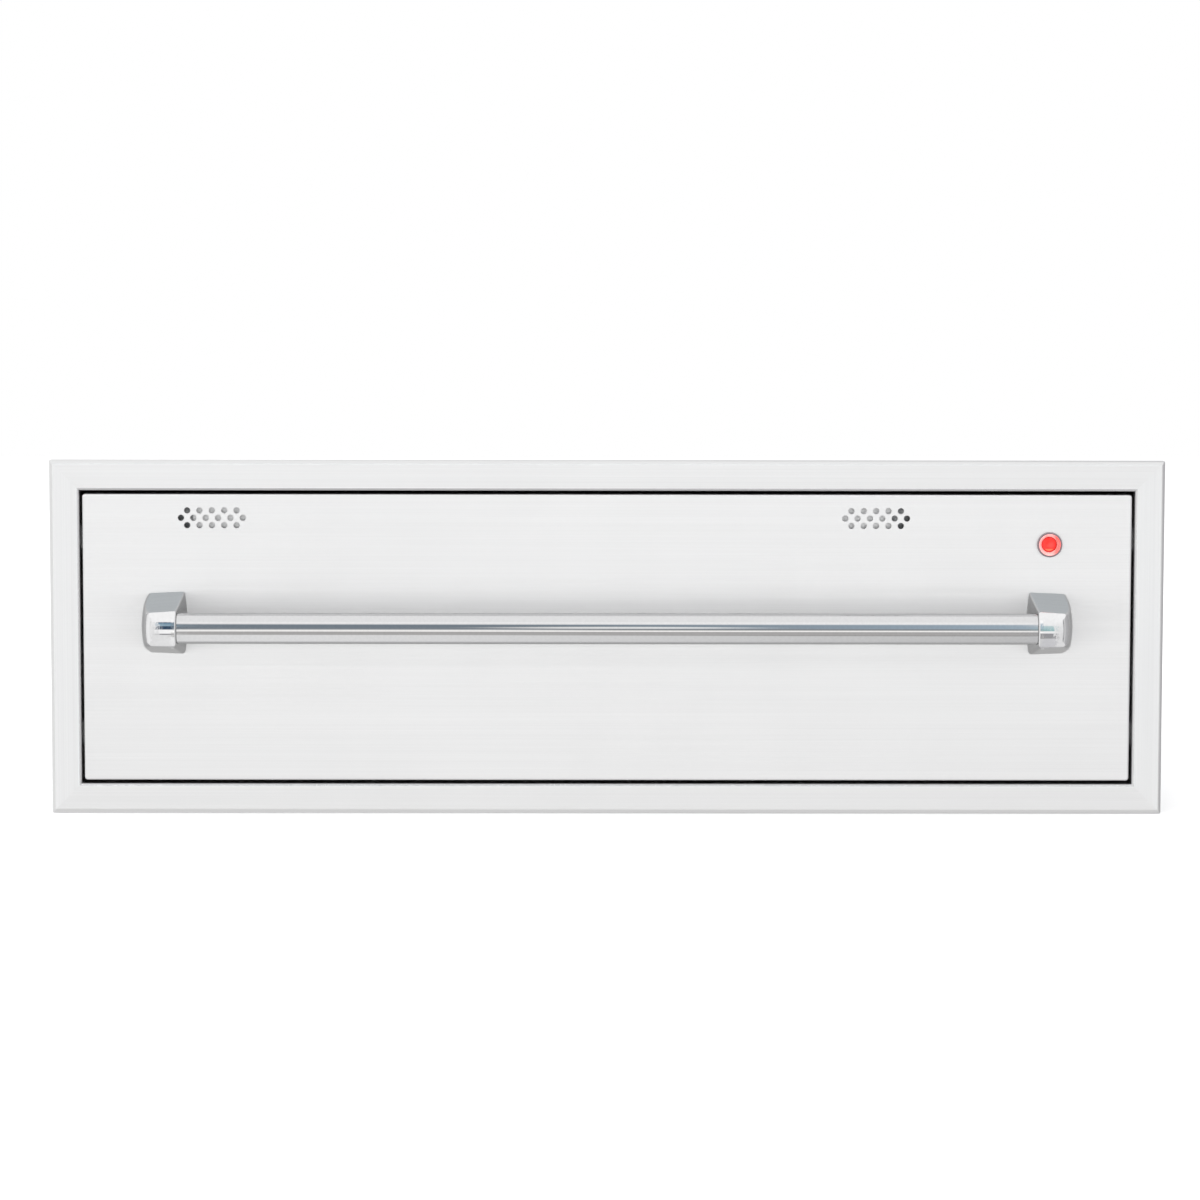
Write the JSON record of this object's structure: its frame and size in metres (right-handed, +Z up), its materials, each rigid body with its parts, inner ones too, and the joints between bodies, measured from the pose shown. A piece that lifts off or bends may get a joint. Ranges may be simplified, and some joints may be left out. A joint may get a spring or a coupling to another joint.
{
  "type": "built in warming drawer",
  "caption": "Wide low built-in warming drawer: flush brushed steel front in a trim frame, tubular handle, vent holes, red lamp, heated tub on full-extension slides.",
  "frame": {"origin": "centre of the cabinet cut-out, on the plane of the cabinet face that the trim's hem bears on", "axes": "+X right as seen from the front, +Y into the cabinet, +Z up; the front looks along -Y"},
  "size_m": [0.927, 0.6598, 0.295],
  "materials": {
    "trim_steel": "fine brushed stainless, satin",
    "front_steel": "fine horizontally brushed stainless, satin",
    "casing_steel": "mill-finish stainless sheet",
    "chassis_steel": "mill-finish stainless sheet",
    "deck_steel": "brushed stainless",
    "tub_steel": "satin stainless, slightly heat tinted at the floor",
    "zinc_steel": "bright zinc plated",
    "ball_steel": "polished balls in zinc plated retainers",
    "fastener_steel": "stainless fasteners",
    "bar_steel": "polished stainless tube",
    "bracket_chrome": "chrome plated casting",
    "bezel_chrome": "chrome plated, turned",
    "red_lens": "translucent red lens",
    "knob_black": "satin black moulding with a white pointer line",
    "black_plastic": "black moulding",
    "white_plastic": "off-white moulding",
    "ceramic": "unglazed ceramic",
    "element_sheath": "dark oxidised alloy sheath",
    "mineral_wool": "mineral wool blanket",
    "black_rubber": "black rubber",
    "copper": "plain copper",
    "cutout_aluminium": "aluminium cap",
    "plate_aluminium": "brushed aluminium dial plate",
    "lead_sleeve": "silicone sleeved leads"
  },
  "bodies": {
    "casing": {"trim_frame": "trim_steel", "casing_top": "casing_steel", "casing_bottom": "casing_steel", "casing_left": "casing_steel", "casing_right": "casing_steel", "casing_back": "casing_steel", "casing_screws": "fastener_steel", "stop_tabs": "casing_steel", "stop_bumpers": "black_rubber", "junction_box": "zinc_steel", "junction_cover": "zinc_steel", "terminal_block": "white_plastic", "cable_gland": "black_plastic", "slide_cabinet_left": "zinc_steel", "slide_cabinet_right": "zinc_steel", "slide_rivets": "fastener_steel"},
    "left_middle_member": {"slide_middle_left": "zinc_steel"},
    "right_middle_member": {"slide_middle_right": "zinc_steel"},
    "outer_ball_cages": {"ball_cages_outer": "ball_steel"},
    "inner_ball_cages": {"ball_cages_inner": "ball_steel"},
    "drawer": {"front_skin": "front_steel", "front_shield": "chassis_steel", "front_backing": "chassis_steel", "lamp_bezel": "bezel_chrome", "lamp_lens": "red_lens", "lamp_body": "black_plastic", "lamp_nut": "bezel_chrome", "handle_bar": "bar_steel", "handle_bracket_left": "bracket_chrome", "handle_bracket_right": "bracket_chrome", "handle_plates": "zinc_steel", "handle_screws": "fastener_steel", "drawer_side_left": "chassis_steel", "drawer_side_right": "chassis_steel", "drawer_floor": "chassis_steel", "drawer_back": "chassis_steel", "deck": "deck_steel", "chassis_screws": "fastener_steel", "floor_rivets": "fastener_steel", "partition": "chassis_steel", "warming_tub": "tub_steel", "diffuser": "tub_steel", "heating_element": "element_sheath", "element_bushings": "ceramic", "element_clips": "fastener_steel", "insulation_blankets": "mineral_wool", "thermostat": "black_plastic", "thermostat_nut": "fastener_steel", "control_plate": "plate_aluminium", "thermostat_bulb": "copper", "thermal_cutout": "cutout_aluminium", "internal_leads": "lead_sleeve", "lead_grommets": "black_rubber", "drawer_connector": "black_plastic", "slide_drawer_left": "zinc_steel", "slide_drawer_right": "zinc_steel", "slide_screws": "fastener_steel"},
    "knob": {"control_knob": "knob_black", "thermostat_spindle": "fastener_steel"}
  },
  "joints": [
    {"name": "drawer_slide", "type": "slide", "parent": "casing", "child": "drawer", "axis": [0, -1, 0], "range_m": [0, 0.42]},
    {"name": "left_middle_slide", "type": "slide", "parent": "casing", "child": "left_middle_member", "axis": [0, -1, 0], "range_m": [0, 0.21]},
    {"name": "right_middle_slide", "type": "slide", "parent": "casing", "child": "right_middle_member", "axis": [0, -1, 0], "range_m": [0, 0.21]},
    {"name": "outer_cage_slide", "type": "slide", "parent": "casing", "child": "outer_ball_cages", "axis": [0, -1, 0], "range_m": [0, 0.105]},
    {"name": "inner_cage_slide", "type": "slide", "parent": "casing", "child": "inner_ball_cages", "axis": [0, -1, 0], "range_m": [0, 0.315]},
    {"name": "knob_turn", "type": "hinge", "parent": "drawer", "child": "knob", "pos_m": [0.335, 0.075, 0.106], "axis": [0, 0, 1], "range_deg": [-270, 0]}
  ],
  "couplings": [
    {"joint": "left_middle_slide", "follows": "drawer_slide", "ratio": 0.5},
    {"joint": "right_middle_slide", "follows": "drawer_slide", "ratio": 0.5},
    {"joint": "outer_cage_slide", "follows": "drawer_slide", "ratio": 0.25},
    {"joint": "inner_cage_slide", "follows": "drawer_slide", "ratio": 0.75}
  ]
}
